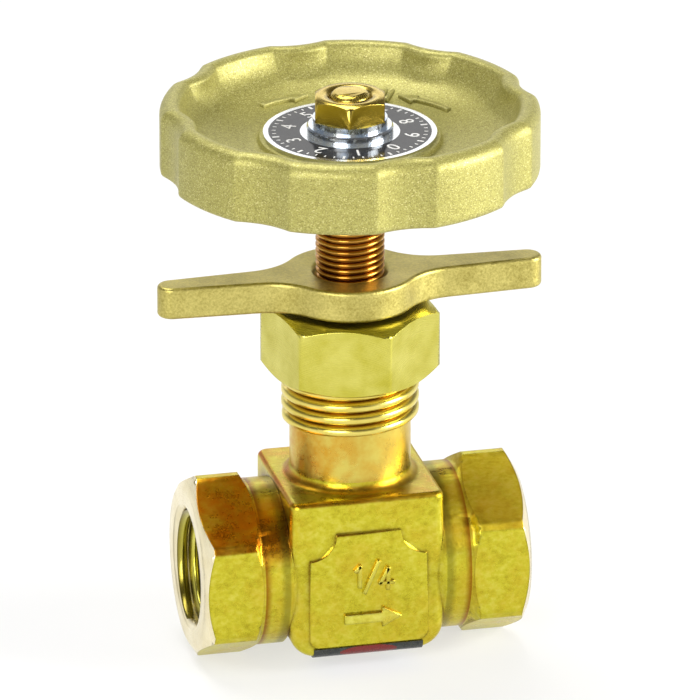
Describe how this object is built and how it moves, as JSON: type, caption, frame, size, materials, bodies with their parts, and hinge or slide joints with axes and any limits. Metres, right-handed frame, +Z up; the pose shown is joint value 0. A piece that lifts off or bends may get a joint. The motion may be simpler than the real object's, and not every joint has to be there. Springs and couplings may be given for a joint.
{
  "type": "needle valve",
  "caption": "Forged brass needle valve with hexagonal female pipe ports, a union nut on a threaded neck, a wing lock nut and a fluted round handwheel on a rising threaded stem.",
  "frame": {"origin": "on the stem's axis, level with the lowest corners of the two port hexagons", "axes": "+Z up along the stem towards the handwheel, +X along the flow towards the outlet port, +Y away from the front panel"},
  "size_m": [0.0454, 0.0436, 0.0684],
  "materials": {
    "forged_brass": "forged and pickled, satin",
    "turned_brass": "turned, satin",
    "stem_brass": "polished thread",
    "cast_brass": "cast and tumbled, fine grain",
    "wheel_paint": "metallic gold paint with a fine texture",
    "plate": "black print with bare rings",
    "zinc": "bright zinc plate",
    "stainless": "ground",
    "packing_white": "moulded",
    "gasket_fibre": "pressed fibre",
    "label_black": "printed film"
  },
  "bodies": {
    "valve": {"body": "forged_brass", "bonnet": "turned_brass", "bonnet_gasket": "gasket_fibre", "union_nut": "turned_brass", "packing_washer": "turned_brass", "packing_ring_lower": "packing_white", "packing_ring_middle": "packing_white", "packing_ring_upper": "packing_white", "packing_gland": "turned_brass", "base_label": "label_black"},
    "needle": {"needle_tip": "stainless", "thrust_ball": "stainless"},
    "spindle": {"stem": "stem_brass", "handwheel": "wheel_paint", "dial_plate": "plate", "flat_washer": "zinc", "spring_washer": "zinc", "wheel_nut": "turned_brass"},
    "wing": {"lock_wing": "cast_brass"}
  },
  "joints": [
    {"name": "needle_lift", "type": "slide", "parent": "valve", "child": "needle", "axis": [0, 0, 1], "range_m": [0, 0.00413]},
    {"name": "handwheel_turn", "type": "hinge", "parent": "needle", "child": "spindle", "pos_m": [0, 0, 0.06], "axis": [0, 0, 1], "range_deg": [0, 1981]},
    {"name": "lock_wing_turn", "type": "hinge", "parent": "spindle", "child": "wing", "pos_m": [0, 0, 0.0446], "axis": [0, 0, 1], "range_deg": [-20, 160]}
  ],
  "couplings": [
    {"joint": "handwheel_turn", "follows": "needle_lift", "rad_per_m": 8377.6}
  ]
}
